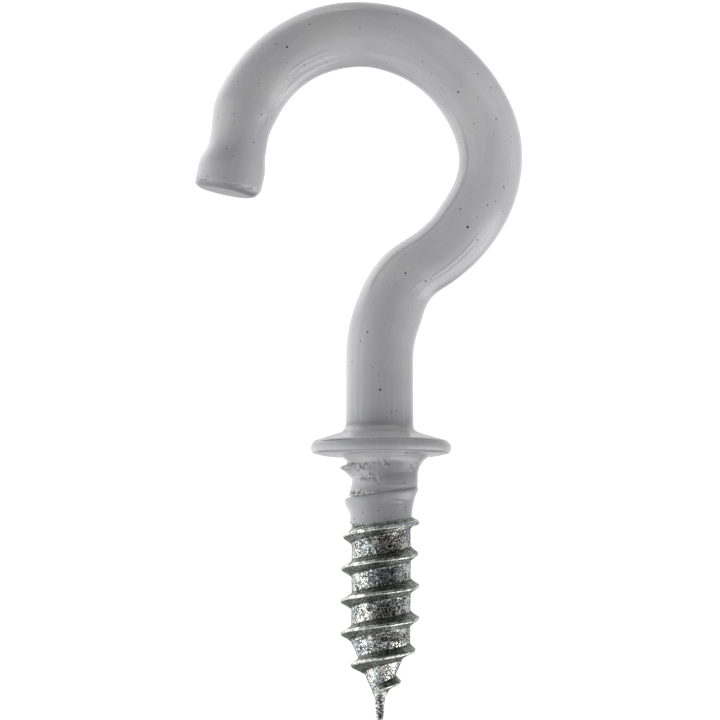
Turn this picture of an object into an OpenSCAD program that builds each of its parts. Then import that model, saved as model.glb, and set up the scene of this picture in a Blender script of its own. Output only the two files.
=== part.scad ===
// Shouldered screw-in wall hook: steel wire with an upset collar and a rolled wood-screw
// thread, dipped in plastic down to the first turns of the thread.
// The origin is the centre of the collar's flat underside, where it meets the wall.
// +Z runs out of the wall along the shank, +X towards the closed side of the loop,
// and the loop lies in the XZ plane. All sizes are in millimetres.

/* [Wire] */
// Diameter of the bare steel wire
wire_d = 3.35; // [3:0.05:3.6]
// Straight length of the shank, from the wall to the first bend
shank_len = 5.6; // [4:0.1:12]
// Centreline radius of the bend that swings the wire out of the shank's line
lead_r = 6.5; // [4:0.25:9]
// Angle of that bend
lead_angle = 51.5; // [40:0.5:60]
// Straight length between that bend and the loop
lead_len = 1.85; // [0.5:0.05:4]

/* [Loop] */
// Centreline radius of the loop's closed side
side_r = 6.15; // [5:0.05:8]
// Angle that the closed side turns through
side_angle = 81.5; // [60:0.5:95]
// Centreline radius of the loop's crown
crown_r = 8.4; // [6:0.05:10]
// Angle that the crown turns through
crown_angle = 28.5; // [20:0.5:60]
// Centreline radius of the loop's open side
front_r = 6.95; // [5:0.05:8]
// Angle that the open side turns through
front_angle = 109.5; // [80:0.5:115]

/* [Nose] */
// Straight length of the nose, from the loop to the cropped end
nose_len = 3.4; // [3.3:0.05:8]
// How much the wire's radius draws in behind the cropped end
nose_neck = 0.18; // [0:0.01:0.3]
// How much the wire's radius swells at the cropped end
nose_swell = 0.08; // [0:0.01:0.25]
// Radius of the rounding on the cropped end's edge
nose_edge_r = 0.42; // [0.2:0.02:0.8]

/* [Collar] */
// Radius at which the collar's rounded rim is centred
rim_centre_r = 3.485; // [3.2:0.005:4.5]
// Radius of the rim's rounding
rim_r = 0.22; // [0.15:0.01:0.4]
// Slope of the collar's top face
collar_slope = 17; // [8:1:22]
// Fillet between the collar's top face and the shank
collar_fillet_r = 0.4; // [0.2:0.05:0.8]

/* [Thread] */
// Diameter of the neck between the collar and the first full turn
neck_d = 2.9; // [2.6:0.05:3.1]
// Diameter of the thread's root
root_d = 3.28; // [3:0.02:3.5]
// Height of the thread's ridge above the root
ridge_h = 0.5; // [0.3:0.05:0.6]
// Distance from one turn to the next
pitch = 1.79; // [1.6:0.01:2]
// Width of the ridge where it leaves the root
ridge_base = 0.8; // [0.7:0.05:1]
// Width of the ridge's crest
ridge_crest = 0.15; // [0.1:0.01:0.25]
// Depth of the screw's point below the wall
screw_len = 14.7; // [12:0.1:20]
// Length of the cone that leads to the point
cone_len = 3.4; // [2:0.1:4]
// Length of the slender nib at the very point
nib_len = 1; // [0.6:0.1:1.5]

/* [Coating] */
// Thickness of the plastic on the shank
shank_skin = 0.2; // [0.15:0.01:0.3]
// Thickness of the plastic on the bends, the loop and the nose
loop_skin = 0.12; // [0.08:0.01:0.2]
// Thickness of the plastic on the collar
collar_skin = 0.2; // [0.1:0.01:0.3]
// Thickness of the plastic on the thread
thread_skin = 0.08; // [0.06:0.01:0.12]
// Fillet of plastic between the collar's top face and the shank
top_fillet_r = 0.5; // [0.3:0.05:0.8]
// Radius of the plastic around the neck
sag_r = 1.86; // [1.8:0.02:1.95]
// How far the plastic around the neck sagged to one side
sag_shift = 0.28; // [0.1:0.02:0.28]
// Fillet of plastic between the neck and the collar's underside
sag_fillet_r = 1.15; // [1:0.05:1.25]
// Depth below the wall at which the plastic ends
coat_depth = 3.8; // [3.6:0.1:6]

/* [Hidden] */
$fn = 64;

STEEL = [0.62, 0.64, 0.65];
PLASTIC = [0.74, 0.74, 0.76];

wire_r = wire_d / 2;
neck_r = neck_d / 2;
root_r = root_d / 2;

// Every second length of the wire is a hair thinner and reaches a little way into its
// neighbours, so that the lengths overlap instead of only touching
HAIR = 0.01;
LAP = 0.05;

rim_z = rim_r + collar_skin;    // height of the rim's centre above the wall
TAPER_LEN = 1.2;                // length over which the shank's plastic thins to the loop's
NOSE_LEAD = 0.15;               // length of the nose that is still as thick as the wire
NOSE_NECK_AT = 2.75;            // from the cropped end back to the nose's narrowest place
NOSE_SWELL_AT = 1.25;           // from the cropped end back to its widest place

TURN_STEPS = 36;                // facets around one turn of the thread
BURIED = 0.3;                   // how far up the screw and its plastic reach inside the collar
FIRST_RIDGE = 0.97;             // depth of the first ridge on the loop's open side
RUNOUT_TOP = 0.35;              // depth at which the ridge begins to rise
RUNOUT_LEN = 0.5;               // depth over which it rises to its full height
NECK_END = 1.2;                 // depth at which the neck begins to widen to the root
NECK_BLEND = 0.8;               // depth over which it widens
NIB_R = 0.33;                   // radius of the nib where the cone ends
NIB_TIP_R = 0.2;                // radius of the nib behind its blunt tip
NIB_TIP_LEN = 0.1;              // length of that tip
nib_depth = screw_len - nib_len;
cone_depth = nib_depth - cone_len;

SAG_CONTACT = 0.96;             // share of the fillet's radius from the wall to its centre
SAG_STRAIGHT = 1.5;             // depth at which the plastic around the neck begins to taper
SAG_END = 3.5;                  // depth at which it has sunk into the skin on the thread
SAG_END_R = 1.43;
EDGE_TILT = 0.17;               // rise and fall of the plastic's lower edge around the screw

function clamp01(x) = min(1, max(0, x));
function smooth(x) = let (c = clamp01(x)) c * c * (3 - 2 * c);
function lerp(a, b, x) = a + (b - a) * clamp01(x);

// ---------- bent wire ----------

// Carries its children to the end of an arc that starts at the origin heading up +Z and
// turns towards +X, or towards -X for a negative angle
module after_arc(r, angle) {
    side = sign(angle) * r;
    translate([side, 0, 0])
        rotate([0, angle, 0])
            translate([-side, 0, 0])
                children();
}

// That arc as a bent rod, lengthened by lap at both ends
module bend(r, angle, rod_r, lap = 0) {
    extra = lap / r * 180 / PI;
    translate([sign(angle) * r, 0, 0])
        rotate([90, 0, 0])
            rotate((angle > 0 ? 180 - angle : 0) - extra)
                rotate_extrude(angle = abs(angle) + 2 * extra)
                    translate([r, 0])
                        circle(rod_r);
}

// Radius of the nose: drawn in, then swollen, by the shear that cropped the wire
function nose_r(from_end) =
    wire_r
    - nose_neck * (from_end > NOSE_NECK_AT
        ? smooth((nose_len - NOSE_LEAD - from_end) / (nose_len - NOSE_LEAD - NOSE_NECK_AT))
        : smooth((from_end - NOSE_SWELL_AT) / (NOSE_NECK_AT - NOSE_SWELL_AT)))
    + nose_swell * smooth((NOSE_NECK_AT - from_end) / (NOSE_NECK_AT - NOSE_SWELL_AT));

module nose(skin) {
    edge = nose_edge_r + skin;
    end = nose_len + skin;
    steps = 16;
    shaped = end - edge - NOSE_LEAD;
    side = [for (i = [0:steps]) let (z = NOSE_LEAD + shaped * i / steps)
        [nose_r(nose_len - z) + skin, z]];
    end_r = side[steps][0];
    rotate_extrude() {
        polygon(concat([[0, 0], [wire_r + skin, 0]], side, [[0, end - edge]]));
        translate([0, end - edge])
            square([end_r - edge, edge]);
        intersection() {
            translate([end_r - edge, end - edge])
                circle(edge);
            translate([end_r - edge, end - edge])
                square(edge);
        }
    }
}

// The straight shank from inside the collar to the first bend
module shank(skin, end_skin) {
    taper_z = shank_len - TAPER_LEN;
    translate([0, 0, rim_z])
        cylinder(r = wire_r + skin, h = taper_z - rim_z);
    translate([0, 0, taper_z])
        cylinder(r1 = wire_r + skin, r2 = wire_r + end_skin, h = TAPER_LEN);
}

// Everything beyond the shank
module bends(skin) {
    full = wire_r + skin;
    bend(lead_r, lead_angle, full - HAIR, LAP);
    after_arc(lead_r, lead_angle) {
        cylinder(r = full, h = lead_len);
        translate([0, 0, lead_len]) {
            bend(side_r, -side_angle, full - HAIR, LAP);
            after_arc(side_r, -side_angle) {
                bend(crown_r, -crown_angle, full);
                after_arc(crown_r, -crown_angle) {
                    bend(front_r, -front_angle, full - HAIR, LAP);
                    after_arc(front_r, -front_angle)
                        nose(skin);
                }
            }
        }
    }
}

// ---------- collar ----------

// A rounded rim, a flat underside and a sloping top that runs into the shank with a fillet
module collar(skin, shank_r, fillet_r) {
    edge = rim_r + skin;
    normal = [sin(collar_slope), cos(collar_slope)];
    rim = [rim_centre_r, rim_z];
    rim_top = rim + edge * normal;
    corner = [shank_r, rim_top[1] + (rim_top[0] - shank_r) * tan(collar_slope)];
    fillet = corner + fillet_r * [1, (1 - normal[0]) / normal[1]];
    rotate_extrude() {
        difference() {
            polygon([[0, rim_z - edge], [rim_centre_r, rim_z - edge], rim, rim_top,
                     fillet - fillet_r * normal, fillet, [0, fillet[1]]]);
            translate(fillet)
                circle(fillet_r);
        }
        translate(rim)
            circle(edge);
    }
}

// ---------- screw ----------

// Solid between two depths whose surface follows the thread's helix.
// profile: rows of [offset from the ridge's centre, share of the ridge's height], from one
// root to the next. radius: function of depth and share. bottom: function of the angle.
// Step i goes round and down the helix, and row m of a step is row 0 one turn later.
// Rows above the top or below the bottom are drawn onto a ring there.
module helical_solid(profile, top, bottom, radius, tip_depth) {
    m = len(profile);
    n = TURN_STEPS;
    first = floor((top - FIRST_RIDGE) / pitch - 1) * n;
    count = ceil((bottom(180) - FIRST_RIDGE) / pitch + 1) * n - first;
    angle = function (i) 180 - 360 * (first + i) / n;
    depth = function (i, j) FIRST_RIDGE + pitch * ((first + i) / n + (j == m ? 1 : 0))
                            + profile[j % m][0];
    at = function (i, depth, share)
        let (r = radius(depth, share)) [r * cos(angle(i)), r * sin(angle(i)), -depth];
    helix = [for (i = [0:count]) for (j = [0:m - 1])
        at(i, min(bottom(angle(i)), max(top, depth(i, j))), profile[j][1])];
    top_ring = [for (i = [0:n - 1]) at(i, top, 0)];
    bottom_ring = [for (i = [0:n - 1]) at(i, bottom(angle(i)), 0)];
    rings = len(helix);
    index = function (i, j)
        depth(i, j) <= top ? rings + i % n
        : depth(i, j) >= bottom(angle(i)) ? rings + n + i % n
        : j == m ? (i + n) * m
        : i * m + j;
    sides = [for (i = [0:count - 1]) for (j = [0:m - 1])
        let (a = index(i, j), b = index(i, j + 1), c = index(i + 1, j + 1), d = index(i + 1, j))
        for (t = [[a, b, c], [a, c, d]])
            if (t[0] != t[1] && t[1] != t[2] && t[2] != t[0]) t];
    caps = [for (i = [0:n - 1]) let (next = (i + 1) % n)
        for (t = [[rings + next, rings + 2 * n, rings + i],
                  [rings + n + i, rings + 2 * n + 1, rings + n + next]]) t];
    polyhedron(points = concat(helix, top_ring, bottom_ring, [[0, 0, -top], [0, 0, -tip_depth]]),
               faces = concat(sides, caps));
}

// Radius under the ridge: neck, root, cone and nib
function core_r(depth) =
    depth < cone_depth ? lerp(neck_r, root_r, (depth - NECK_END) / NECK_BLEND)
    : depth < nib_depth ? lerp(root_r, NIB_R, (depth - cone_depth) / cone_len)
    : lerp(NIB_R, NIB_TIP_R, (depth - nib_depth) / (nib_len - NIB_TIP_LEN));

// The ridge rises out of the neck and dies away towards the nib
function ridge_height(depth) =
    ridge_h * smooth((depth - RUNOUT_TOP) / RUNOUT_LEN)
            * smooth((nib_depth + nib_len / 3 - depth) / (cone_len / 2));

module screw() {
    profile = [
        [-pitch / 2, 0],
        [-ridge_base / 2, 0],
        [-ridge_base * 0.38, 0.14],
        [-ridge_crest / 2, 1],
        [ridge_crest / 2, 1],
        [ridge_base * 0.38, 0.14],
        [ridge_base / 2, 0],
    ];
    helical_solid(profile, -collar_skin - BURIED, function (angle) screw_len - NIB_TIP_LEN,
        function (depth, share) core_r(depth) + share * ridge_height(depth), screw_len);
}

// ---------- plastic below the collar ----------

// Skin on the first turns of the thread, softer in outline than the steel under it
module thread_coat() {
    profile = [
        [-pitch / 2, 0],
        [-ridge_base * 0.7, 0.05],
        [-ridge_base * 0.45, 0.3],
        [-ridge_crest * 0.75, 1],
        [ridge_crest * 0.75, 1],
        [ridge_base * 0.45, 0.3],
        [ridge_base * 0.7, 0.05],
    ];
    helical_solid(profile, -BURIED, function (angle) coat_depth - EDGE_TILT * cos(angle),
        function (depth, share) core_r(depth) + share * ridge_height(depth) + thread_skin,
        coat_depth);
}

// Plastic that ran down from the collar and set around the neck, more on one side
module neck_sag() {
    fillet = [sag_r + sag_fillet_r, -sag_fillet_r * SAG_CONTACT];
    translate([sag_shift, 0, 0])
        rotate_extrude()
            difference() {
                polygon([[0, BURIED], [fillet[0], BURIED], [fillet[0], fillet[1]],
                         [sag_r, fillet[1]], [sag_r, -SAG_STRAIGHT],
                         [SAG_END_R, -SAG_END], [0, -SAG_END]]);
                translate(fillet)
                    circle(sag_fillet_r);
            }
}

// ---------- the two pieces ----------

module steel_hook() {
    color(STEEL) {
        shank(0, 0);
        translate([0, 0, shank_len])
            bends(0);
        collar(0, wire_r, collar_fillet_r);
        screw();
    }
}

module plastic_coating() {
    color(PLASTIC)
        difference() {
            union() {
                shank(shank_skin, loop_skin);
                translate([0, 0, shank_len])
                    bends(loop_skin);
                collar(collar_skin, wire_r + shank_skin, top_fillet_r);
                neck_sag();
                thread_coat();
            }
            steel_hook();
        }
}

steel_hook();
plastic_coating();
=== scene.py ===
"""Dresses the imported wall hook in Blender: a glossy dip coating over zinc-plated steel."""

import math

import bpy
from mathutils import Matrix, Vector, noise


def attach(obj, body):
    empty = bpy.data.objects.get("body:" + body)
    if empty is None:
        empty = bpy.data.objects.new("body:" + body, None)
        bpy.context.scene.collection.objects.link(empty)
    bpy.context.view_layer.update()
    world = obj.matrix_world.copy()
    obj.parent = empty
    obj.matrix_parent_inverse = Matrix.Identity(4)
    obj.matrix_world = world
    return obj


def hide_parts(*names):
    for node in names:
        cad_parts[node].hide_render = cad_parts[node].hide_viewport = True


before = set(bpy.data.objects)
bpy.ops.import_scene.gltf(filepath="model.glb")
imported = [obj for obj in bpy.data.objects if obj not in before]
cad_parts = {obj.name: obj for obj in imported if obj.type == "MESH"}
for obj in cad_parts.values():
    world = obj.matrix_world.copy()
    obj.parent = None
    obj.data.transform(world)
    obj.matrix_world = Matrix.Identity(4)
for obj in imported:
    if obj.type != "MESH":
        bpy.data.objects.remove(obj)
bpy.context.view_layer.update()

MM = 0.001

# ---------- the hook's own sizes, in millimetres, close to those of the CAD model ----------

WIRE_R = 1.675
LOOP_SKIN = 0.12
SHANK_LEN = 5.6
# The wire's route from the wall: (radius or None for a straight, turn in degrees or length)
ROUTE = [(None, SHANK_LEN), (6.5, -51.5), (None, 1.85), (6.15, 81.5), (8.4, 28.5),
         (6.95, 109.5), (None, 3.52)]
COLLAR_SKIN = 0.2
RIM_CENTRE_R = 3.485
RIM_R = 0.22
RIM_Z = RIM_R + COLLAR_SKIN
COLLAR_SLOPE = math.radians(17)
TOP_FILLET_R = 0.5
STEEL_FILLET_R = 0.4

NECK_R = 1.45
ROOT_R = 1.64
RIDGE_H = 0.51
PITCH = 1.79
RIDGE_BASE = 0.8
RIDGE_CREST = 0.15
FIRST_RIDGE = 0.97      # depth of the first ridge on the loop's open side
RUNOUT_TOP = 0.35       # depth at which the ridge begins to rise
RUNOUT_LEN = 0.5        # depth over which it rises to its full height
DRAWN_UP = 0.23         # how far the first turns are drawn up to the collar
NECK_END = 1.2          # depth at which the neck begins to widen to the root
NECK_BLEND = 0.8        # depth over which it widens
SCREW_LEN = 14.7
CONE_LEN = 3.15
NIB_LEN = 1.2
NIB_R = 0.27            # radius of the nib where the cone ends
NIB_TIP_R = 0.2         # radius of the nib behind its blunt tip
NIB_TIP_LEN = 0.1       # length of that tip
NIB_DEPTH = SCREW_LEN - NIB_LEN
CONE_DEPTH = NIB_DEPTH - CONE_LEN

SAG_R = 1.83            # radius of the plastic that ran down round the neck
SAG_SHIFT = 0.215       # how far it sagged to one side
SAG_FILLET_R = 1.15
SAG_CONTACT = 0.96      # share of the fillet's radius from the wall to its centre
SAG_STRAIGHT = 1.5      # depth at which that plastic begins to taper
SAG_END = 3.5           # depth at which it has sunk into the skin on the thread
SAG_END_R = 1.43
SHOULDER_H = 0.36       # height of the plastic's shoulder under the collar at the open side
THREAD_SKIN = 0.08
COAT_DEPTH = 3.8        # depth of the plastic's lower edge
EDGE_TILT = -0.02       # rise and fall of that edge from side to side
EDGE_NEAR = 0.2         # how much lower it is on the near side
LEAN_SHIFT = 0.085      # how far the collar and the screw sit to one side of the shank
LEAN_SLOPE = 0.009      # slope of the rings round the screw, and of its lower half
LEAN_Z = -7.0           # height at which the screw itself begins to lean


def clamp01(x):
    return min(1.0, max(0.0, x))


def smooth(x):
    c = clamp01(x)
    return c * c * (3 - 2 * c)


def bell(x, width):
    return math.exp(-(x / width) ** 2)


def lerp(a, b, x):
    return a + (b - a) * clamp01(x)


def along(points, x):
    """Smoothly interpolated value at x of a short list of (x, value) pairs."""
    for (x0, v0), (x1, v1) in zip(points, points[1:]):
        if x <= x1:
            return v0 + (v1 - v0) * smooth((x - x0) / (x1 - x0))
    return points[-1][1]


def lean(x, y, z):
    """The collar and the screw sit to one side of the shank, and the screw leans back."""
    shift = LEAN_SHIFT * (1 - smooth((z - 0.5) / 0.8)) + LEAN_SLOPE * min(0, z - LEAN_Z)
    return x + shift, y, z - LEAN_SLOPE * x * smooth(-2 * z)


# ---------- the wire's route ----------

def segment_length(radius, amount):
    return amount if radius is None else radius * math.radians(abs(amount))


ROUTE_LEN = sum(segment_length(*part) for part in ROUTE)


def route(s):
    """Place (x, z) and heading, in radians from +X, at distance s from the wall."""
    x, z, heading = 0.0, 0.0, math.pi / 2
    for radius, amount in ROUTE:
        length = segment_length(radius, amount)
        step = s if (radius, amount) == ROUTE[-1] else min(s, length)
        if radius is None:
            x += step * math.cos(heading)
            z += step * math.sin(heading)
        else:
            side = math.copysign(radius, amount)
            turn = step / side
            centre_x = x - side * math.sin(heading)
            centre_z = z + side * math.cos(heading)
            heading += turn
            x = centre_x + side * math.sin(heading)
            z = centre_z - side * math.cos(heading)
        s -= step
        if s <= 0:
            break
    return x, z, heading


# How far the bent wire strays from its ideal route, towards the loop's outer side
STRAY = [(5, 0.01), (7.9, 0.055), (10.2, -0.1), (12.4, 0.085), (15.2, -0.08), (18.8, 0.02),
         (21.9, -0.038), (26.5, -0.01), (32, 0.01), (38.2, -0.03), (40.5, -0.145),
         (41.7, -0.09), (60, -0.1)]


def ring_on_route(s, r, columns, swell=None):
    """Ring of points across the wire at s. swell gives any added height by angle."""
    x, z, heading = route(s)
    stray = along(STRAY, s)
    x += stray * math.sin(heading)
    z -= stray * math.cos(heading)
    ring = []
    for k in range(columns):
        a = 2 * math.pi * k / columns
        reach = r + swell(a) if swell else r
        out = reach * math.cos(a)
        ring.append((x + out * math.sin(heading), reach * math.sin(a),
                     z - out * math.cos(heading)))
    return ring


def ring_round_axis(radius_at, z_at, columns):
    """Ring round the screw's axis. Both arguments are functions of angle."""
    ring = []
    for k in range(columns):
        a = 2 * math.pi * k / columns
        r = radius_at(a)
        ring.append(lean(r * math.cos(a), r * math.sin(a), z_at(a)))
    return ring


def arc(centre, radius, start, end, steps):
    """Points of an arc in (r, z), with angles in radians."""
    for i in range(steps + 1):
        a = start + (end - start) * i / steps
        yield centre[0] + radius * math.cos(a), centre[1] + radius * math.sin(a)


COLLAR_TOP_STEPS = 44


def collar_profile(skin, shank_r, fillet_r, steps, lip_end=-math.pi / 2):
    """(r, z) points from the shank over the collar and its rounded rim, down to lip_end."""
    edge = RIM_R + skin
    slope = (math.sin(COLLAR_SLOPE), math.cos(COLLAR_SLOPE))
    rim_top = (RIM_CENTRE_R + edge * slope[0], RIM_Z + edge * slope[1])
    corner_z = rim_top[1] + (rim_top[0] - shank_r) * math.tan(COLLAR_SLOPE)
    fillet = (shank_r + fillet_r, corner_z + fillet_r * (1 - slope[0]) / slope[1])
    top = math.pi / 2 - COLLAR_SLOPE
    points = list(arc(fillet, fillet_r, math.pi, math.pi + top, steps))
    foot = points[-1]
    for i in range(1, COLLAR_TOP_STEPS):
        t = i / COLLAR_TOP_STEPS
        points.append((foot[0] + (rim_top[0] - foot[0]) * t, foot[1] + (rim_top[1] - foot[1]) * t))
    points += list(arc((RIM_CENTRE_R, RIM_Z), edge, top, lip_end, 2 * steps))
    return points


def mesh_object(name, points, faces, **attributes):
    """attributes are numbers, or (x, y, z) places, one for each point."""
    mesh = bpy.data.meshes.new(name)
    mesh.from_pydata([tuple(c * MM for c in p) for p in points], [], faces)
    for key, values in attributes.items():
        if isinstance(values[0], float):
            mesh.attributes.new(key, "FLOAT", "POINT").data.foreach_set("value", values)
        else:
            mesh.attributes.new(key, "FLOAT_VECTOR", "POINT").data.foreach_set(
                "vector", [c for place in values for c in place])
    mesh.validate()
    mesh.polygons.foreach_set("use_smooth", [True] * len(mesh.polygons))
    mesh.update()
    obj = bpy.data.objects.new(name, mesh)
    bpy.context.scene.collection.objects.link(obj)
    return obj


def middle(ring):
    return tuple(sum(p[c] for p in ring) / len(ring) for c in range(3))


def skin_rings(rings, base=0):
    """Quads between rings that follow each other, with their normals outward. base is the
    number of the first ring's first point."""
    columns = len(rings[0])
    faces = []
    for i in range(len(rings) - 1):
        for k in range(columns):
            n = (k + 1) % columns
            a, b = base + i * columns, base + (i + 1) * columns
            faces.append((a + k, b + k, b + n, a + n))
    return faces


# ---------- the plastic coating ----------

COAT_COLUMNS = 216
COAT_STEP = 0.2
LIP_END = math.radians(-50)     # where the rim's rounding stops, at a crease
UNDERSIDE_R = 3.3
NOSE_START = ROUTE_LEN - 0.8

# Diameter of the coated wire along its route: the plastic is thick on the shank, thin on
# the bend beside the loop, and drawn in behind the cropped end
COAT_D = [(0, 3.77), (4.5, 3.73), (7.8, 3.785), (12, 3.45), (15.3, 3.585), (18, 3.52),
          (20.7, 3.61), (24.5, 3.58), (28, 3.67), (29.4, 3.63), (31.5, 3.68), (34.5, 3.615),
          (37.9, 3.6), (39.9, 3.22), (40.4, 3.235), (41.7, 3.745), (60, 3.745)]

# Raised runs in the plastic along the wire's near side: (start, end, offset from the wire's
# middle towards the loop's outer side at either end, half width, height)
RUNS = [(31.6, 35.2, -1.0, -0.96, 0.055, 0.036), (32.0, 34.4, -1.19, -1.16, 0.05, 0.03),
        (34.2, 39.9, -1.25, -1.56, 0.05, 0.02), (25.9, 26.6, 1.3, 1.27, 0.05, 0.035),
        (22.0, 23.4, 0.97, 1.41, 0.055, 0.03), (11.0, 14.7, 0.99, 0.93, 0.055, 0.036),
        (8.9, 11.2, 0.55, 0.98, 0.07, 0.022), (9.3, 14.2, 1.22, 1.18, 0.05, 0.02),
        (11.5, 17.5, 1.42, 1.44, 0.05, 0.018), (19.0, 24.8, -1.45, -1.42, 0.07, 0.016),
        (1.2, 7.5, -1.3, -1.25, 0.06, 0.012), (1.2, 6.8, -0.95, -0.9, 0.05, 0.008),
        (1.2, 6.5, 1.25, 1.2, 0.06, 0.01), (1.2, 7.0, 0.7, 0.75, 0.05, 0.007)]
RUN_FADE = 0.5          # length over which a run rises at either end


def run_height(s, angle, r):
    """Height at a place on the wire of the runs that pass it."""
    height = 0.0
    if math.sin(angle) > 0:
        return height
    for start, end, off_0, off_1, width, top in RUNS:
        if start < s < end:
            off = lerp(off_0, off_1, (s - start) / (end - start))
            across = (angle - 2 * math.pi + math.acos(off / r)) * r
            fade = smooth((s - start) / RUN_FADE) * smooth((end - s) / RUN_FADE)
            height += top * fade * bell(across, width)
    return height


def laid_out(point, s):
    """Place of a point near s on the straightened wire: along it, outwards and across."""
    x, z, heading = route(s)
    dx, dz = point[0] - x, point[2] - z
    return (s + dx * math.cos(heading) + dz * math.sin(heading),
            dx * math.sin(heading) - dz * math.cos(heading), point[1])


def nose_edge_r(angle):
    """Rounding of the cropped end, softer towards the inside of the loop."""
    return 0.5 - 0.15 * math.cos(angle)


def ring_across(r_at, s_at, columns):
    """Ring on the nose, where both the radius and the place along the route vary by angle."""
    x, z, heading = route(NOSE_START)
    stray = along(STRAY, NOSE_START)
    ring = []
    for k in range(columns):
        a = 2 * math.pi * k / columns
        out = stray + r_at(a) * math.cos(a)
        on = s_at(a) - NOSE_START
        ring.append((x + out * math.sin(heading) + on * math.cos(heading), r_at(a) * math.sin(a),
                     z - out * math.cos(heading) + on * math.sin(heading)))
    return ring


NOSE_BULGE = 0.02       # how far the middle of the nose's end stands out


def nose_rings(skin, columns, steps):
    """Rings of the nose's end, from its side over the rounding to near its middle."""
    side = along(COAT_D, NOSE_START) / 2 - skin
    end = ROUTE_LEN - skin
    rings = []
    for i in range(1, 3):
        rings.append(ring_across(lambda a: side, lambda a, t=i / 2: lerp(
            NOSE_START, end - nose_edge_r(a), t), columns))
    for i in range(1, steps + 1):
        turn = math.pi / 2 * i / steps
        rings.append(ring_across(
            lambda a, t=turn: side - nose_edge_r(a) * (1 - math.cos(t)),
            lambda a, t=turn: end - nose_edge_r(a) * (1 - math.sin(t)), columns))
    for share in (0.75, 0.5, 0.25, 0.08):
        rings.append(ring_across(lambda a, q=share: (side - nose_edge_r(a)) * q,
                                 lambda a, q=share: end + NOSE_BULGE * (1 - q), columns))
    return rings


NOSE_TORN_S = ROUTE_LEN - 0.34      # middle of the rough band on the nose's near edge
NOSE_LINE_S = ROUTE_LEN - 0.27      # line of painted shade along that edge
NOSE_FACE_S = ROUTE_LEN - 0.35      # where the painted shade on the end face begins
FACE_SHADE = 0.75       # painted shade on the end face
FOOT_SHADE = 0.3        # painted shade on the stem's foot and on the collar


def nose_torn(s, out, across):
    """Roughness of the plastic on the near edge of the nose's end."""
    if s < ROUTE_LEN - 1 or across > 0:
        return 0.0
    blotch = smooth(2.5 * noise.noise(Vector((s * 1.5, out * 1.1, 4.2))) + 0.45)
    return blotch * smooth(1 - abs(s - NOSE_TORN_S) / 0.26) * smooth((-across - 0.5) / 0.4)


def tube_seam(s, out, across):
    """Painted shade on the stem's foot, on the nose's end face and in a line along its near edge.
    """
    if s < ROUTE_LEN - 1:
        return FOOT_SHADE * smooth((2.8 - s) / 1.6)
    face = FACE_SHADE * smooth((s - NOSE_FACE_S) / 0.25) * smooth((1.3 - across) / 0.3)
    if across > 0:
        return face
    edge = NOSE_LINE_S + 0.12 * noise.noise(Vector((out * 2.5, 1.3, 0.7)))
    broken = 0.45 + 0.8 * noise.noise(Vector((out * 1.7, 3.3, 2.1)))
    line = bell(s - edge, 0.05) * smooth((-across - 0.6) / 0.5) * clamp01(broken)
    return max(line, face)


def core_radius(depth):
    """Radius of the steel under the ridge."""
    if depth < CONE_DEPTH:
        return lerp(NECK_R, ROOT_R, (depth - NECK_END) / NECK_BLEND)
    if depth < NIB_DEPTH:
        return lerp(ROOT_R, NIB_R, (depth - CONE_DEPTH) / CONE_LEN)
    return lerp(NIB_R, NIB_TIP_R, (depth - NIB_DEPTH) / (NIB_LEN - NIB_TIP_LEN))


def ridge_height(depth, angle):
    """The ridge rises slowly out of the neck, and stands out more on the loop's open side."""
    rise = smooth((depth - RUNOUT_TOP) / RUNOUT_LEN) * lerp(0.55, 1, (depth - 2.5) / 4)
    fall = smooth((NIB_DEPTH - 0.15 - depth) / 0.9)
    return RIDGE_H * rise * fall * (1 - 0.1 * math.cos(angle))


def crowded(depth):
    """Depth as if the ridges were evenly spaced: the first turns are drawn up to the collar."""
    return depth + DRAWN_UP * (1 - smooth(depth - 2.6))


def ridge_place(depth, angle):
    """Which turn of the ridge is nearest, and how far the place lies below its centre line."""
    turn = (math.pi - angle) / (2 * math.pi)
    from_first = crowded(depth) - FIRST_RIDGE - PITCH * turn
    nearest = round(from_first / PITCH)
    return nearest + turn, from_first - PITCH * nearest


# How far the coated ridge stands out of the plastic around it, by its turn
COAT_RIDGE = [(-0.5, 0), (-0.3, 0.05), (-0.14, 0.14), (-0.04, 0.42), (0.04, 0.42), (0.42, 0.09),
              (0.75, 0.15), (1, 0.3), (1.5, 0.37), (9, 0.37)]
# Depth of the sharp crease just above it, by its turn
COAT_CREASE = [(0.4, 0), (0.5, 0.1), (0.62, 0.12), (0.75, 0.09), (0.95, 0.06), (1.05, 0), (9, 0)]
FIRST_TURN_LAG = 0.8    # how far the torn first turn stays level instead of climbing
CREASE_ABOVE = 0.15     # distance of the crease above the ridge's centre line
CREASE_WIDTH = 0.06
# How far the plastic ran below the steel's own ridge, and how far below that the crease is
COAT_LAG = [(0.1, 0), (0.3, 0.15), (0.8, 0.15), (1.02, 0), (9, 0)]
CREASE_LAG = [(0.1, 0), (0.4, 0.13), (0.8, 0.1), (1.02, 0), (9, 0)]


def coat_ridge(depth, angle):
    """Height of the coated ridge, and the depth of its crease. The ridge is steep above and
    drawn out below."""
    turn, offset = ridge_place(depth, angle)
    if turn < 0:
        offset += FIRST_TURN_LAG * PITCH * turn
    offset -= along(COAT_LAG, turn)
    reach = 1 - (-offset - 0.03) / 0.17 if offset < 0 else 1 - (offset - 0.05) / 0.6
    from_crease = offset + CREASE_ABOVE - along(CREASE_LAG, turn)
    crease = along(COAT_CREASE, turn) * bell(from_crease, CREASE_WIDTH)
    return along(COAT_RIDGE, turn) * smooth(reach) - crease, crease


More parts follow.
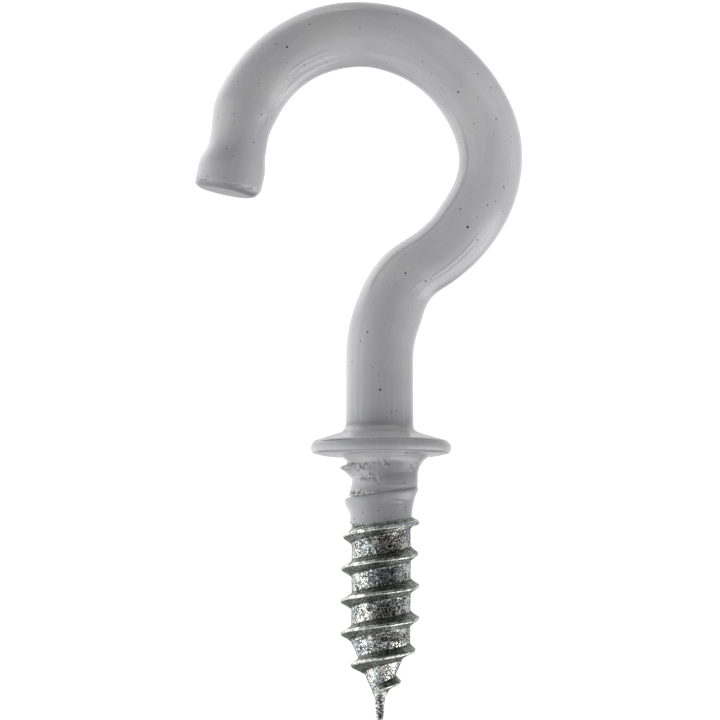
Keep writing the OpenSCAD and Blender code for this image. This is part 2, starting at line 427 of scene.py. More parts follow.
# Soft swellings of the plastic round the neck: angle, depth, their spreads, and height
SWELLS = [(5.25, 2.62, 0.24, 0.1, 0.055), (5.35, 2.86, 0.16, 0.08, 0.035),
          (5.05, 3.1, 0.14, 0.08, 0.03), (5.78, 0.55, 0.08, 0.12, 0.06),
          (5.66, 0.85, 0.06, 0.13, 0.045), (5.95, 0.75, 0.07, 0.2, 0.045),
          (5.2, 1.72, 0.3, 0.09, 0.03), (4.6, 2.55, 0.2, 0.1, 0.03)]
NECK_SHADE = 0.22       # painted shade all round the neck


def swelling(depth, angle):
    """Height of the soft swellings at a place on the neck."""
    turn = angle % (2 * math.pi)
    return sum(height * bell(turn - at, across) * bell(depth - down, down_spread)
               for at, down, across, down_spread, height in SWELLS)


def neck_seam(depth, angle):
    """Painted shade round the neck: a little all over, and more in the ridge's crease."""
    crease = coat_ridge(depth, angle % (2 * math.pi))[1]
    return min(1.0, max(9 * crease, NECK_SHADE * smooth((depth - 0.3) / 0.5)))


def sag_radius(depth, angle):
    """Distance from the screw's axis to the plastic that ran down round the neck."""
    fillet_z = SAG_FILLET_R * SAG_CONTACT
    if depth < fillet_z:
        rho = SAG_R + SAG_FILLET_R - math.sqrt(SAG_FILLET_R ** 2 - (fillet_z - depth) ** 2)
    elif depth < SAG_STRAIGHT:
        rho = SAG_R
    else:
        rho = SAG_R + (SAG_END_R - SAG_R) * (depth - SAG_STRAIGHT) / (SAG_END - SAG_STRAIGHT)
    across = SAG_SHIFT * math.sin(angle)
    return SAG_SHIFT * math.cos(angle) + math.sqrt(max(0.01, rho * rho - across * across))


def soft_max(a, b, blend):
    """The larger of two values, blended where they are nearly equal."""
    h = clamp01(0.5 + 0.5 * (a - b) / blend)
    return b + (a - b) * h + blend * h * (1 - h) * 0.5


def patch(depth, angle, centre, half, facing, start, blend):
    """Strength of a patch on the neck that fades within half of its centre's depth, and where
    the cosine of the angle from its facing side, in degrees, falls to start."""
    sideways = smooth((math.cos(angle - math.radians(facing)) - start) / blend)
    return sideways * smooth(1 - abs(depth - centre) / half)


def torn_at(depth, angle):
    """How torn the plastic is: over the first turn, beside the second, and at the lower edge."""
    first = patch(depth + 0.1 * math.sin(3 * angle), angle, 0.7, 0.32, 230, 0.5, 0.25)
    first *= 0.25 + 0.75 * smooth(2.5 * noise.noise(Vector((angle * 2.4, depth * 3, 8.3))) + 0.4)
    beside = 0.7 * patch(depth, angle, 2.15, 0.22, 200, 0.6, 0.25)
    pitted = 0.45 * patch(depth, angle, 1.35, 0.4, 245, 0.9, 0.06)
    edge = 0.6 * smooth((depth - coat_edge_depth(angle) + 0.12) / 0.1)
    return max(first, beside, pitted, edge)


def crumbs(depth, angle, r):
    """Crumbs and pits of the torn plastic."""
    p = Vector((r * math.cos(angle), r * math.sin(angle), depth))
    coarse, fine = noise.noise(p * 3.6), noise.noise(p * 8 + Vector((3, 7, 1)))
    lump = 0.3 * max(0, coarse) - 0.25 * max(0, -coarse - 0.08) + 0.13 * fine
    return torn_at(depth, angle) * lump


def coat_neck_radius(depth, angle):
    """Distance from the screw's axis to the plastic round the neck."""
    shoulder = SHOULDER_H * smooth(-math.cos(angle)) * smooth(1 - (depth - 0.55) / 0.5)
    r = soft_max(sag_radius(depth, angle), core_radius(depth) + THREAD_SKIN, 0.12)
    if depth < NECK_END:
        r = soft_max(r, SAG_R - SAG_SHIFT - 0.05 + shoulder, 0.1)
    r += coat_ridge(depth, angle)[0] + swelling(depth, angle)
    return r + crumbs(depth, angle, r)


def coat_edge_depth(angle):
    """Depth of the plastic's ragged lower edge."""
    p = Vector((math.cos(angle), math.sin(angle), 0))
    ragged = 0.07 * noise.noise(p * 4.5) + 0.08 * noise.noise(p * 14)
    near = EDGE_NEAR * max(0, -math.sin(angle))
    return COAT_DEPTH - EDGE_TILT * math.cos(angle) + near + ragged


FILLET_STEPS = 18
NECK_STEP = 0.04
LEVEL_END = 3.0         # depth above which the rings round the neck are level
EDGE_STEPS = 24         # rings from there to the lower edge


def neck_rings():
    """Rings from the collar's underside down to the plastic's lower edge and inside it."""
    depths = []
    start = math.acos(SAG_CONTACT)
    for i in range(FILLET_STEPS + 1):
        b = start + (math.pi / 2 - start) * i / FILLET_STEPS
        depths.append(SAG_FILLET_R * (SAG_CONTACT - math.cos(b)))
    first = depths[-1]
    count = round((LEVEL_END - first) / NECK_STEP)
    depths += [first + (LEVEL_END - first) * i / count for i in range(1, count + 1)]
    rings = [ring_round_axis(lambda a, d=d: coat_neck_radius(max(d, 0), a),
                             lambda a, d=d: -max(d, 0), COAT_COLUMNS) for d in depths]
    for i in range(1, EDGE_STEPS + 1):
        t = i / EDGE_STEPS
        rings.append(ring_round_axis(
            lambda a, t=t: coat_neck_radius(lerp(LEVEL_END, coat_edge_depth(a), t), a),
            lambda a, t=t: -lerp(LEVEL_END, coat_edge_depth(a), t), COAT_COLUMNS))
    # then in under the edge and up inside the steel
    for inset, drop in ((0.03, 0.015), (0.2, 0.0), (1.0, -0.1)):
        rings.append(ring_round_axis(
            lambda a, q=inset: max(0.3, coat_neck_radius(coat_edge_depth(a), a) - q),
            lambda a, q=drop: -coat_edge_depth(a) - q, COAT_COLUMNS))
    return rings


UNDERSIDE_STEPS = 10


def underside_rings(rim, neck):
    """Level rings from the collar's rim in to the top of the plastic round the neck."""
    return [[tuple(a + (b - a) * i / UNDERSIDE_STEPS for a, b in zip(p, q))
             for p, q in zip(rim, neck)] for i in range(1, UNDERSIDE_STEPS)]


RIM_SIDE_R = 3.7        # radius beyond which a place is on the collar's rim
RIM_LINE_Z = 0.69       # height of the line round the rim's shoulder
LIP_CREASE_R = 3.74     # radius of the crease under the rim
RING_SPACING = 0.19     # from one fine ring on the collar's top to the next


def ripple(r, z, angle):
    """Rise, inward shift and painted shade of a place on the collar, for the fine rings on its
    top, the line round its rim and the crease under it. The painted shade also darkens the
    collar near the stem and the upper side of the rim."""
    wander = 0.12 * noise.noise(Vector((math.cos(angle) * 1.5, math.sin(angle) * 1.5, r)))
    fade = smooth((r - 1.85) / 0.05) * smooth((2.9 - r) / 0.5) * smooth((z - 0.7) / 0.2)
    fade *= 0.6 + 0.8 * noise.noise(Vector((angle, r * 3, 2.7)))
    rings = fade * math.sin(2 * math.pi * (r + 0.6 * z + wander) / RING_SPACING)
    on_rim = r > RIM_SIDE_R
    rim = bell(z - RIM_LINE_Z + 0.3 * wander, 0.05) if on_rim else 0
    lip = bell(r - LIP_CREASE_R, 0.04) if z < 0.12 else 0
    faint = 0.65 + 0.8 * noise.noise(Vector((math.cos(angle) * 2, math.sin(angle) * 2, 5.1)))
    shade = FOOT_SHADE * smooth((z - 0.2) / 0.4 if on_rim else (2.9 - r) / 0.8)
    # painted shade: the rim line, the crease under the rim, the darker foot and upper rim, and the
    # fine rings shaded along their wave
    dark = max(faint * rim, 0.9 * lip, shade + 0.3 * rings, 0.0)
    return 0.013 * rings - 0.03 * rim, 0.035 * lip + 0.02 * rim, dark


def collar_ring(r, z):
    """Ring of the collar's plastic, and the painted shade of its points."""
    ring, dark = [], []
    for k in range(COAT_COLUMNS):
        a = 2 * math.pi * k / COAT_COLUMNS
        rise, inward, shade = ripple(r, z, a)
        ring.append(lean((r - inward) * math.cos(a), (r - inward) * math.sin(a),
                         z + rise + inward))
        dark.append(shade)
    return ring, dark


def lip_profile(lip):
    """(r, z) points from the crease under the rim to the flat underside."""
    slope = Vector((UNDERSIDE_R - lip[0], -lip[1]))
    shares = (0.015 / slope.length, 0.1, 0.4, 0.7, 0.92, 1)
    return [(lip[0] + slope.x * t, lip[1] + slope.y * t) for t in shares]


def build_coating():
    """The plastic's outer surface from the middle of the nose's end to its lower edge, closed
    at both ends. Its attributes are laid, the place on the straightened wire or round the
    screw, torn, how rough the plastic is, and seam, how much painted shade darkens it."""
    neck = neck_rings()
    profile = collar_profile(COLLAR_SKIN, COAT_D[0][1] / 2, TOP_FILLET_R, 12, LIP_END)
    profile += lip_profile(profile[-1])
    collar, collar_painted_shade = zip(*[collar_ring(r, z) for r, z in profile])
    collar = list(collar)
    top = profile[0][1]
    count = round((NOSE_START - top) / COAT_STEP)
    places = [top + (NOSE_START - top) * i / count for i in range(1, count + 1)]
    tube = [ring_on_route(s, along(COAT_D, s) / 2, COAT_COLUMNS,
                          lambda a, s=s: run_height(s, a, along(COAT_D, s) / 2)) for s in places]
    nose = nose_rings(0, COAT_COLUMNS, 12)
    under = underside_rings(collar[-1], neck[0])
    rings = list(reversed(nose)) + list(reversed(tube)) + collar + under + neck
    points = [p for ring in rings for p in ring]
    laid = [laid_out(p, NOSE_START) for ring in reversed(nose) for p in ring]
    laid += [laid_out(p, s) for ring, s in zip(reversed(tube), reversed(places)) for p in ring]
    torn = [nose_torn(*place) for place in laid]
    seam = [tube_seam(*place) for place in laid]
    laid += [(z, x, y) for ring in collar + under + neck for x, y, z in ring]
    torn += [0.0] * (len(collar + under) * COAT_COLUMNS)
    torn += [torn_at(-z, math.atan2(y, x)) for ring in neck for x, y, z in ring]
    seam += [shade for dark in collar_painted_shade for shade in dark]
    seam += [0.0] * (len(under) * COAT_COLUMNS)
    seam += [neck_seam(-z, math.atan2(y, x)) for ring in neck for x, y, z in ring]
    faces = skin_rings(rings)
    for ring, flip in ((0, True), (len(rings) - 1, False)):
        mid = len(points)
        points.append(middle(rings[ring]))
        laid.append(laid[ring * COAT_COLUMNS])
        torn.append(0.0)
        seam.append(max(seam[ring * COAT_COLUMNS:(ring + 1) * COAT_COLUMNS]))
        for k in range(COAT_COLUMNS):
            a, b = ring * COAT_COLUMNS + k, ring * COAT_COLUMNS + (k + 1) % COAT_COLUMNS
            faces.append((mid, a, b) if flip else (mid, b, a))
    return mesh_object("coating", points, faces, laid=laid, torn=torn, seam=seam)


# ---------- the steel ----------

TURN_STEPS = 144        # columns round the steel
ROOT_ROWS = 6
FOOT_ROWS = 3
FLANK_ROWS = 6
RIDGE_FOOT = 0.12       # width of the fillet at the foot of the ridge
BARE_TOP = 3.3          # depth below which the steel is in view and so has its lumps
WIRE_ROWS = 90


def ridge_profile():
    """(offset, share) rows from one root to the next, closer together on the ridge."""
    half, crest = RIDGE_BASE / 2, RIDGE_CREST / 2
    reach = PITCH / 2 - half - RIDGE_FOOT
    above = [(-PITCH / 2 + reach * i / ROOT_ROWS, 0.0) for i in range(ROOT_ROWS + 1)]
    for i in range(1, FOOT_ROWS + 1):
        t = i / FOOT_ROWS
        above.append((-half - RIDGE_FOOT + RIDGE_FOOT * t, 0.05 * t * t))
    for i in range(1, FLANK_ROWS + 1):
        t = i / FLANK_ROWS
        rise = 0.05 + 0.95 * (0.35 * t * t + 0.65 * t)
        above.append((-half + (half - crest) * t, rise))
    crest_rows = [(-crest * 0.6, 1.04), (0.0, 1.06), (crest * 0.6, 1.04)]
    below = [(-u, v) for u, v in reversed(above)][:-1]
    return above + crest_rows + below


def zinc_lumps(x, y, z):
    """Outward lumps of the plating, in millimetres."""
    p = Vector((x, y, z))
    return 0.012 * noise.noise(p * 2.2) + 0.007 * noise.noise(p * 6.0)


def steel_point(depth, angle, share):
    """Place on the screw's surface. share is that of the ridge's height."""
    bare = smooth((depth - BARE_TOP) / 0.3)
    r = core_radius(depth) + share * ridge_height(depth, angle) * lerp(0.3, 1, bare)
    bare *= smooth(r / 0.25)
    x, y = r * math.cos(angle), r * math.sin(angle)
    nib = smooth((depth - NIB_DEPTH) / 0.2)
    lumps = zinc_lumps(x, y, -depth) * (1 + share)
    lumps += 0.045 * nib * noise.noise(Vector((x * 3, y * 3, depth * 4.5)))
    nick = 0.05 * share * max(0, noise.noise(Vector((x, y, depth)) * 1.6) - 0.25)
    grown = r + bare * (lumps - nick)
    return lean(grown * math.cos(angle), grown * math.sin(angle), -depth)


def helix_skin():
    """Points, faces, shares of the ridge's height and number of the top ring's first point of
    the screw's surface, from inside the collar to the tip. Step i goes round and down the
    helix, and row m of a step is row 0 one turn later. Rows above the top or below the bottom
    are drawn on to a ring there."""
    profile = ridge_profile()
    m, n = len(profile), TURN_STEPS
    top, bottom = RIM_R - RIM_Z, SCREW_LEN - NIB_TIP_LEN
    first = math.floor((top - FIRST_RIDGE) / PITCH - 1) * n
    count = math.ceil((bottom - FIRST_RIDGE) / PITCH + 1) * n - first

    def angle(i):
        return math.pi - 2 * math.pi * (first + i) / n

    def depth(i, j):
        # what crowded() would add is taken off, which is close to its reverse
        even = FIRST_RIDGE + PITCH * ((first + i) / n + j // m) + profile[j % m][0]
        return even - crowded(even) + even

    points = [steel_point(min(bottom, max(top, depth(i, j))), angle(i), profile[j][1])
              for i in range(count + 1) for j in range(m)]
    share = [profile[j][1] for i in range(count + 1) for j in range(m)]
    start = len(points)
    points += [steel_point(top, angle(i), 0) for i in range(n)]
    points += [steel_point(bottom, angle(i), 0) for i in range(n)]

    def index(i, j):
        if depth(i, j) <= top:
            return start + i % n
        if depth(i, j) >= bottom:
            return start + n + i % n
        return (i + n) * m if j == m else i * m + j

    faces = []
    for i in range(count):
        for j in range(m):
            quad = [index(i, j), index(i, j + 1), index(i + 1, j + 1), index(i + 1, j)]
            corners = [v for k, v in enumerate(quad) if v != quad[k - 1]]
            if len(set(corners)) > 2:
                faces.append(tuple(corners))

    tip = len(points)
    points.append((0.0, 0.0, -SCREW_LEN))
    for i in range(n):
        faces.append((start + n + i, tip, start + n + (i + 1) % n))
    share += [0.0] * (len(points) - len(share))
    return points, faces, share, start


def hidden_rings():
    """Rings of the steel under the plastic: the collar, the wire and the nose. They start where
    the helix's top ring starts, and run the same way round."""
    n = TURN_STEPS
    collar = collar_profile(0, WIRE_R, STEEL_FILLET_R, 8)
    rings = [ring_round_axis(lambda a, r=r: r, lambda a, z=z: z, n)
             for r, z in reversed(collar)]
    low = collar[0][1]
    for i in range(1, WIRE_ROWS + 1):
        s = low + (NOSE_START - low) * i / WIRE_ROWS
        rings.append(ring_on_route(s, along(COAT_D, s) / 2 - LOOP_SKIN, n))
    rings += nose_rings(LOOP_SKIN, n, 6)
    return [[ring[(n // 2 - i) % n] for i in range(n)] for ring in rings]


def build_steel():
    """The steel from the screw's tip to the middle of the nose's end. Its attribute ridge is
    the share of the thread's ridge at each point."""
    points, faces, share, start = helix_skin()
    rings = hidden_rings()
    n = TURN_STEPS
    base = len(points)
    points += [p for ring in rings for p in ring]
    faces += skin_rings(rings, base)
    for i in range(n):
        faces.append((start + i, base + i, base + (i + 1) % n, start + (i + 1) % n))
    last = base + (len(rings) - 1) * n
    mid = len(points)
    points.append(middle(rings[-1]))
    for i in range(n):
        faces.append((last + i, mid, last + (i + 1) % n))
    share += [0.0] * (len(points) - len(share))
    used = sorted({v for f in faces for v in f})
    place = {v: k for k, v in enumerate(used)}
    return mesh_object("steel", [points[v] for v in used],
                       [tuple(place[v] for v in f) for f in faces], ridge=[share[v] for v in used])


# ---------- materials ----------

class Nodes:
    """Short calls that add shader nodes and link them."""

    def __init__(self, tree):
        self.tree = tree

    def put(self, socket, value):
        """Links a value that is itself a socket, and sets any other."""
        if isinstance(value, bpy.types.NodeSocket):
            self.tree.links.new(value, socket)
        else:
            socket.default_value = value

    def add(self, kind, settings=None, **inputs):
        node = self.tree.nodes.new(kind)
        for key, value in (settings or {}).items():
            setattr(node, key, value)
        for key, value in inputs.items():
            self.put(node.inputs[key.replace("_", " ")], value)
        return node

    def attribute(self, name, output="Fac"):
        return self.add("ShaderNodeAttribute", {"attribute_name": name}).outputs[output]

    def math(self, operation, a, b=0.0):
        node = self.add("ShaderNodeMath", {"operation": operation})
        self.put(node.inputs[0], a)
        self.put(node.inputs[1], b)
        return node.outputs[0]

    def vector_math(self, operation, *values):
        node = self.add("ShaderNodeVectorMath", {"operation": operation})
        for socket, value in zip(node.inputs, values):
            self.put(socket, value)
        return node.outputs["Value" if operation == "DISTANCE" else "Vector"]

    def ramp(self, value, low, high, out_low=0.0, out_high=1.0):
        node = self.add("ShaderNodeMapRange", {"interpolation_type": "SMOOTHSTEP"},
                        Value=value, From_Min=low, From_Max=high, To_Min=out_low, To_Max=out_high)
        return node.outputs[0]

    def mix(self, factor, a, b):
        node = self.add("ShaderNodeMix", {"data_type": "RGBA"})
        for index, value in ((0, factor), (6, a), (7, b)):
            self.put(node.inputs[index], value)
        return node.outputs[2]

    def bump(self, height):
        """Normal for a height in millimetres."""
        return self.add("ShaderNodeBump", Strength=1.0, Distance=MM, Height=height).outputs[0]

    def noise(self, place, scale, detail=3.0, roughness=0.5):
        node = self.add("ShaderNodeTexNoise", Vector=place, Scale=scale, Detail=detail,
                        Roughness=roughness)
        return node.outputs["Fac"]


def new_material(name):
    material = bpy.data.materials.new(name)
    material.use_nodes = True
    nodes = Nodes(material.node_tree)
    shader = material.node_tree.nodes["Principled BSDF"]
    place = nodes.add("ShaderNodeTexCoord").outputs["Object"]
    return material, nodes, shader, place


PER_MM = 1000.0         # texture scale at which one unit of noise is a millimetre

# The specks that show most: place along the wire, place outwards, and radius
MARKS = (
    (34.21, 0.21, 0.07), (34.54, 0.72, 0.05), (33.92, -1.11, 0.05), (32.41, -1.48, 0.045),
    (38.32, -1.06, 0.06), (22.99, -0.62, 0.07), (22.22, 1.07, 0.05), (32.59, 0.78, 0.045),
    (14.49, 0.16, 0.08), (14.35, 1.03, 0.06), (10.73, 0.92, 0.085), (11.07, 1.02, 0.05),
    (10.24, -0.21, 0.06), (9.53, -0.89, 0.035), (6.60, -0.76, 0.06), (3.51, 0.03, 0.07),
    (6.15, -1.09, 0.045), (2.29, 0.64, 0.035), (37.26, 0.95, 0.035), (36.76, -0.14, 0.035),
    (40.77, 0.39, 0.035), (41.18, -0.09, 0.035), (34.74, -0.49, 0.035), (15.95, -0.58, 0.035),
    (14.92, -0.59, 0.035), (17.25, 0.90, 0.035), (20.82, -0.69, 0.035))
# Painted shade of pits, and dark specks, round the neck: angle, depth, and radius
PITS = (
    (3.75, 0.52, 0.07), (3.95, 0.92, 0.075), (4.33, 1.36, 0.06), (3.32, 0.78, 0.08),
    (4.35, 1.17, 0.045), (6.11, 0.96, 0.07), (5.43, 1.59, 0.05), (5.59, 2.94, 0.055),
    (3.50, 2.11, 0.08), (3.55, 2.44, 0.06), (4.18, 0.83, 0.055), (4.94, 0.62, 0.04),
    (5.59, 0.59, 0.05), (3.66, 3.58, 0.06), (4.09, 3.24, 0.045))
# Scattered specks: millimetres from one to the next, least and greatest size as a share of
# that, and darkness
SCATTER = ((0.5, 0.03, 0.1, 0.8), (0.3, 0.05, 0.12, 0.5))


def placed_specks_and_pit_shade():
    """Place as in the attribute laid, and radius, of each of the MARKS and PITS."""
    specks = [((s, out, -math.sqrt((along(COAT_D, s) / 2) ** 2 - out ** 2)), size)
              for s, out, size in MARKS]
    for angle, depth, size in PITS:
        r = coat_neck_radius(depth, angle)
        x, y, z = lean(r * math.cos(angle), r * math.sin(angle), -depth)
        specks.append(((z, x, y), size))
    return specks


def specks_and_pit_shade(nodes, tint, place, laid):
    """The tint with dark specks on it and the painted shade of pits, first the scattered and
    then the placed ones.
    """
    for cell, low, high, dark in SCATTER:
        cells = nodes.add("ShaderNodeTexVoronoi", Vector=place, Scale=PER_MM / cell)
        chance = nodes.add("ShaderNodeSeparateColor", Color=cells.outputs["Color"]).outputs[0]
        size = nodes.ramp(chance, 0.35, 1.0, low, high)
        speck = nodes.math("LESS_THAN", cells.outputs["Distance"], size)
        share = nodes.math("MULTIPLY", speck, nodes.math("MULTIPLY", chance, dark))
        tint = nodes.mix(share, tint, (0.04, 0.04, 0.045, 1))
    # The placed ones are the specks in MARKS and the painted shade of pits in PITS
    for speck_place, size in placed_specks_and_pit_shade():
        apart = nodes.vector_math("DISTANCE", laid, speck_place)
        speck = nodes.ramp(apart, 0.6 * size, 1.1 * size, 1.0, 0.0)
        tint = nodes.mix(speck, tint, (0.03, 0.03, 0.03, 1))
    return tint


def plastic_material():
    """Glossy grey-white plastic, faintly clouded and drawn along the wire, with dark specks
    and painted shade.
    """
    material, nodes, shader, place = new_material("dip_coating")
    laid = nodes.attribute("laid", "Vector")
    torn = nodes.attribute("torn")
    seam = nodes.attribute("seam")
    streaks = nodes.noise(nodes.vector_math("MULTIPLY", laid, (0.08, 1, 1)), 3.6, 3.0, 0.6)
    cloud = nodes.noise(place, PER_MM / 3.0, 2.0)
    tint = nodes.mix(nodes.ramp(cloud, 0.35, 0.65), (0.415, 0.415, 0.438, 1),
                     (0.45, 0.45, 0.456, 1))
    tint = nodes.mix(nodes.ramp(streaks, 0.5, 0.75, 0.0, 0.3), tint, (0.52, 0.52, 0.54, 1))
    tint = specks_and_pit_shade(nodes, tint, place, laid)
    # Painted shade: the seam attribute darkens the tint towards near black
    tint = nodes.mix(nodes.math("MULTIPLY", seam, 0.8), tint, (0.11, 0.11, 0.115, 1))
    grit = nodes.ramp(nodes.noise(place, PER_MM / 0.2, 2.0, 0.6), 0.57, 0.64)
    crumbled = nodes.math("MULTIPLY", grit, torn)
    tint = nodes.mix(crumbled, tint, (0.04, 0.04, 0.04, 1))
    nodes.put(shader.inputs["Base Color"], tint)
    sheen = nodes.ramp(nodes.noise(place, PER_MM / 1.2, 3.0), 0.3, 0.7, 0.06, 0.12)
    nodes.put(shader.inputs["Roughness"], sheen)

    lines = nodes.math("MULTIPLY", streaks,
                       nodes.ramp(nodes.noise(laid, 0.3, 1.0), 0.4, 0.6, 0.002, 0.012))
    rings = nodes.noise(nodes.vector_math("MULTIPLY", laid, (5, 0.2, 0.2)), 1.3, 2.0)
    ringed = nodes.math("MULTIPLY", rings, nodes.ramp(seam, 0.23, 0.29, 0.0, 0.03))
    waves = nodes.math("MULTIPLY", nodes.noise(place, PER_MM / 2.0, 1.0), 0.02)
    peel = nodes.math("MULTIPLY", nodes.noise(place, PER_MM / 0.4, 1.0), 0.0012)
    rough = nodes.math("MULTIPLY", crumbled, 0.03)
    drawn = nodes.math("SUBTRACT", nodes.math("ADD", lines, ringed), rough)
    height = nodes.math("ADD", nodes.math("ADD", waves, peel), drawn)
    nodes.put(shader.inputs["Normal"], nodes.bump(height))
    # Painted shade also dims the gloss where it is strong
    nodes.put(shader.inputs["Specular IOR Level"], nodes.ramp(seam, 0.3, 0.7, 0.5, 0.08))
    shader.inputs["IOR"].default_value = 1.55
    return material


def zinc_material():
    """Bright zinc plating on rolled steel: lumpy and cracked between the ridges, smoother and
    darker on their flanks, bright on their crests with wear and a painted highlight, and with
    painted shade at the feet of the ridges."""
    material, nodes, shader, place = new_material("zinc_plating")
    ridge = nodes.attribute("ridge")
    root = nodes.ramp(ridge, 0.0, 0.25, 1.0, 0.0)
    # Bright crests: partly wear, partly a painted highlight along each crest, broken up by this
    # noise
    wear_and_highlight = nodes.ramp(nodes.noise(place, PER_MM / 0.3, 2.0), 0.36, 0.56, 0.15, 1.0)
    crest = nodes.math("MULTIPLY", nodes.ramp(ridge, 0.92, 1.0), wear_and_highlight)
    bend = nodes.add("ShaderNodeTexNoise", Vector=place, Scale=PER_MM / 0.25, Detail=3.0)
    warped = nodes.vector_math("MULTIPLY_ADD", bend.outputs["Color"], (0.3 * MM,) * 3, place)
    cells = nodes.add("ShaderNodeTexVoronoi", {"feature": "DISTANCE_TO_EDGE"}, Vector=warped,
                      Scale=PER_MM / 0.19)
    grain = nodes.noise(place, PER_MM / 0.1, 2.0, 0.6)
    torn = nodes.ramp(nodes.noise(place, PER_MM / 0.55, 2.0), 0.4, 0.52)
    crack = nodes.math("MULTIPLY", nodes.ramp(cells.outputs["Distance"], 0.05, 0.16, 1.0, 0.0),
                       nodes.math("MULTIPLY", torn, nodes.ramp(ridge, 0.1, 0.5, 1.0, 0.55)))
    drift = nodes.noise(place, PER_MM / 1.1, 2.0)
    pale = nodes.mix(nodes.ramp(drift, 0.38, 0.62), (0.70, 0.76, 0.78, 1), (0.96, 0.94, 0.88, 1))
    flank = nodes.mix(nodes.ramp(grain, 0.4, 0.6), (0.24, 0.26, 0.23, 1), (0.60, 0.62, 0.56, 1))
    tint = nodes.mix(root, flank, pale)
    tint = nodes.mix(crest, tint, (0.90, 0.90, 0.86, 1))
    tint = nodes.mix(crack, tint, (0.04, 0.04, 0.038, 1))
    # Painted shade in the crevice at the foot of each ridge
    foot = nodes.math("MULTIPLY", nodes.ramp(ridge, 0.0, 0.06),
                      nodes.ramp(ridge, 0.1, 0.3, 0.75, 0.0))
    tint = nodes.mix(foot, tint, (0.12, 0.12, 0.115, 1))
    dirt = nodes.math("MULTIPLY", nodes.ramp(grain, 0.52, 0.58), nodes.math("MULTIPLY", root, 0.85))
    tint = nodes.mix(dirt, tint, (0.10, 0.10, 0.095, 1))
    nodes.put(shader.inputs["Base Color"], tint)
    shader.inputs["Metallic"].default_value = 1.0
    shader.inputs["Specular Tint"].default_value = (0.55, 0.57, 0.57, 1)
    rough = nodes.ramp(nodes.noise(place, PER_MM / 0.25, 3.0), 0.3, 0.7, 0.14, 0.34)
    nodes.put(shader.inputs["Roughness"], rough)

    lumps = nodes.math("MULTIPLY", nodes.noise(place, PER_MM / 0.34, 2.0, 0.55),
                       nodes.ramp(ridge, 0.0, 0.3, 0.065, 0.04))
    deep = nodes.math("ADD", nodes.math("MULTIPLY", crack, 0.015),
                      nodes.math("MULTIPLY", grain, 0.012))
    nodes.put(shader.inputs["Normal"], nodes.bump(nodes.math("SUBTRACT", lumps, deep)))
    return material


# ---------- studio ----------

VIEW_CENTRE = (-1.088, 0.0, 5.32)   # the point in the middle of the photograph's frame
VIEW_WIDTH = 40.18                  # millimetres across the frame at the hook
VIEW_ELEVATION = math.radians(-5)
VIEW_DISTANCE = 180.0
SENSOR = 36.0           # millimetres across the camera's sensor
FLOOR_Z = -16.0         # height of the floor, in millimetres
FLOOR_HALF = 3.0        # half its width, in metres
FLOOR_GLOW = 0.78       # what it adds to its own light, so that it is nearly white


def add_camera():
    data = bpy.data.cameras.new("camera")
    data.sensor_width = SENSOR
    data.lens = SENSOR * VIEW_DISTANCE / VIEW_WIDTH
    data.clip_start = 0.001
    data.clip_end = 20
    camera = bpy.data.objects.new("camera", data)
    centre = Vector(VIEW_CENTRE) * MM
    away = Vector((0, -math.cos(VIEW_ELEVATION), math.sin(VIEW_ELEVATION))) * VIEW_DISTANCE * MM
    camera.location = centre + away
    camera.rotation_euler = (-away).to_track_quat("-Z", "Y").to_euler()
    bpy.context.scene.collection.objects.link(camera)
    bpy.context.scene.camera = camera


def add_panel(name, place, size, power):
    """Area lamp at place, in millimetres, that faces the hook and isn't mirrored in it."""
    data = bpy.data.lights.new(name, "AREA")
    data.shape = "RECTANGLE"
    data.size, data.size_y = size[0] * MM, size[1] * MM
    data.energy = power
    lamp = bpy.data.objects.new(name, data)
    centre = Vector(VIEW_CENTRE) * MM
    lamp.location = Vector(place) * MM
    lamp.rotation_euler = (centre - lamp.location).to_track_quat("-Z", "Y").to_euler()
    lamp.visible_glossy = False
    lamp.visible_camera = False
    bpy.context.scene.collection.objects.link(lamp)


# Brightness of the surroundings by azimuth, in degrees from the camera's side and negative to
# the hook's open side: as mirrored in gloss, and as soft light. Each has a row for directions
# above the hook, level with it and below it.
AZIMUTHS = (-180, -150, -118, -85, -56, -38, 0, 32, 57, 85, 117, 150, 180)
MIRRORED = ((1.0, 2.0, 2.3, 1.1, 0.6, 0.3, 0.0, 0.4, 0.1, 0.1, 0.2, 0.75, 1.0),
            (0.7, 1.3, 1.6, 1.7, 1.3, 0.5, 0.0, 0.0, 0.05, 0.5, 0.65, 1.1, 0.7),
            (0.2, 0.4, 1.3, 1.7, 1.6, 0.7, 0.4, 0.6, 1.2, 2.7, 2.5, 0.3, 0.2))
SOFT = ((0.9, 1.2, 0.7, 0.4, 0.2, 0.0, 0.0, 0.0, 0.1, 0.2, 0.4, 0.7, 0.9),
        (1.1, 1.3, 1.4, 1.3, 0.6, 0.0, 0.0, 0.0, 0.0, 0.1, 0.5, 0.9, 1.1),
        (1.1, 1.2, 1.5, 1.6, 1.4, 1.2, 1.1, 1.1, 1.2, 1.5, 1.6, 1.1, 1.1))
BRIGHTEST = 3.0
BAND_EDGE = 0.35        # sine of the elevation where the level band ends
BAND_BLUR = 0.12        # half the height over which one band passes into the next


def light_ramp(nodes, azimuth, levels):
    """Brightness by azimuth, as a share of BRIGHTEST."""
    node = nodes.add("ShaderNodeValToRGB", Fac=azimuth)
    stops = node.color_ramp.elements
    for degrees, level in zip(AZIMUTHS, levels):
        at = (degrees + 180) / 360
        if at in (0, 1):        # a new ramp has stops at its two ends
            stop = stops[0] if at == 0 else stops[-1]
        else:
            stop = stops.new(at)
        share = level / BRIGHTEST
        stop.color = (share, share, share, 1)
    return node.outputs[0]


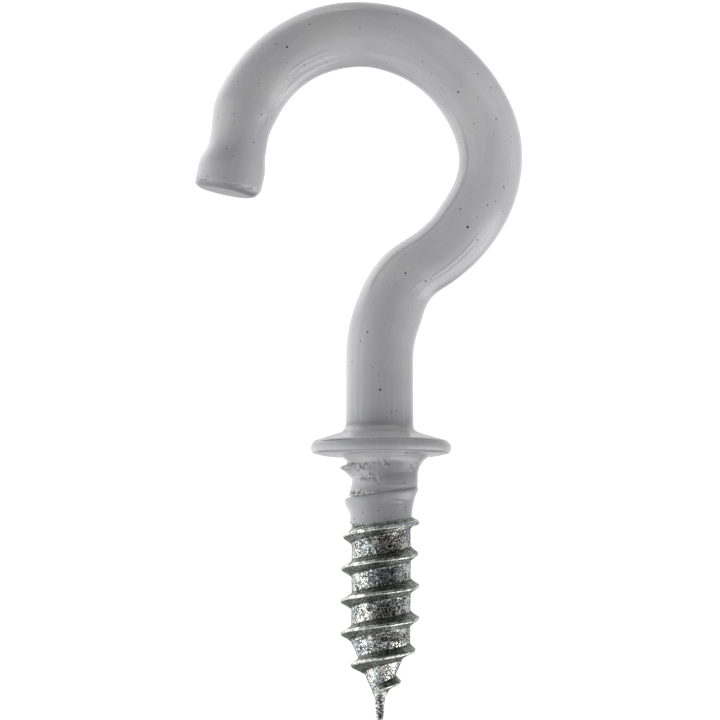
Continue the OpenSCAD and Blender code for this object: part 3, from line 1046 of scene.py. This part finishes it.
def add_world():
    """White to the camera. To the hook, bright behind, at the sides and low, dark in front."""
    world = bpy.data.worlds.new("studio")
    world.use_nodes = True
    bpy.context.scene.world = world
    nodes = Nodes(world.node_tree)
    background = world.node_tree.nodes["Background"]
    direction = nodes.add("ShaderNodeTexCoord").outputs["Generated"]
    axis = nodes.add("ShaderNodeSeparateXYZ", Vector=direction)
    turn = nodes.math("ARCTAN2", axis.outputs["X"], nodes.math("MULTIPLY", axis.outputs["Y"], -1.0))
    azimuth = nodes.math("ADD", nodes.math("DIVIDE", turn, 2 * math.pi), 0.5)
    height = axis.outputs["Z"]
    low = nodes.ramp(height, -BAND_EDGE - BAND_BLUR, -BAND_EDGE + BAND_BLUR)
    high = nodes.ramp(height, BAND_EDGE - BAND_BLUR, BAND_EDGE + BAND_BLUR)
    kinds = []
    for rows in (MIRRORED, SOFT):
        above, level, below = (light_ramp(nodes, azimuth, row) for row in rows)
        kinds.append(nodes.mix(high, nodes.mix(low, below, level), above))
    mirrored, soft = kinds
    path = nodes.add("ShaderNodeLightPath")
    tent = nodes.mix(path.outputs["Is Glossy Ray"], soft, mirrored)
    strength = nodes.math("MAXIMUM", nodes.math("MULTIPLY", tent, BRIGHTEST),
                          path.outputs["Is Camera Ray"])
    nodes.put(background.inputs["Strength"], strength)
    background.inputs["Color"].default_value = (1, 1, 1, 1)


def add_floor():
    """Pale floor that is nearly white to the camera and keeps the hook's shadow. A camera under
    it sees through it."""
    mesh = bpy.data.meshes.new("floor")
    corners = [(x * FLOOR_HALF, y * FLOOR_HALF, FLOOR_Z * MM)
               for x, y in ((-1, -1), (1, -1), (1, 1), (-1, 1))]
    mesh.from_pydata(corners, [], [(0, 1, 2, 3)])
    floor = bpy.data.objects.new("floor", mesh)
    floor.visible_diffuse = False
    floor.visible_glossy = False
    bpy.context.scene.collection.objects.link(floor)
    material = bpy.data.materials.new("floor")
    material.use_nodes = True
    nodes = Nodes(material.node_tree)
    shader = material.node_tree.nodes["Principled BSDF"]
    shader.inputs["Base Color"].default_value = (0.8, 0.8, 0.8, 1)
    shader.inputs["Roughness"].default_value = 0.9
    shader.inputs["Emission Color"].default_value = (1, 1, 1, 1)
    path = nodes.add("ShaderNodeLightPath")
    glow = nodes.math("MULTIPLY", path.outputs["Is Camera Ray"], FLOOR_GLOW)
    nodes.put(shader.inputs["Emission Strength"], glow)
    clear = nodes.add("ShaderNodeBsdfTransparent").outputs[0]
    behind = nodes.add("ShaderNodeNewGeometry").outputs["Backfacing"]
    both = nodes.add("ShaderNodeMixShader")
    for socket, value in zip(both.inputs, (behind, shader.outputs[0], clear)):
        nodes.put(socket, value)
    output = material.node_tree.nodes["Material Output"]
    nodes.put(output.inputs["Surface"], both.outputs[0])
    mesh.materials.append(material)


def dress():
    """Puts a dressed piece in place of each of the CAD's two nodes."""
    for build, node, slot, material in (
            (build_coating, "plastic_coating", "plastic_coat", plastic_material()),
            (build_steel, "steel_hook", "zinc_plated_steel", zinc_material())):
        piece = build()
        piece.data.materials.append(material)
        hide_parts(node)
        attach(piece, "root")


dress()
add_camera()
add_world()
add_floor()
add_panel("right_fill", (32, -28, 30), (20, 20), 0.0138)
add_panel("left_fill", (-110, -5, 20), (60, 100), 0.075)
bpy.context.scene.view_settings.view_transform = "Standard"
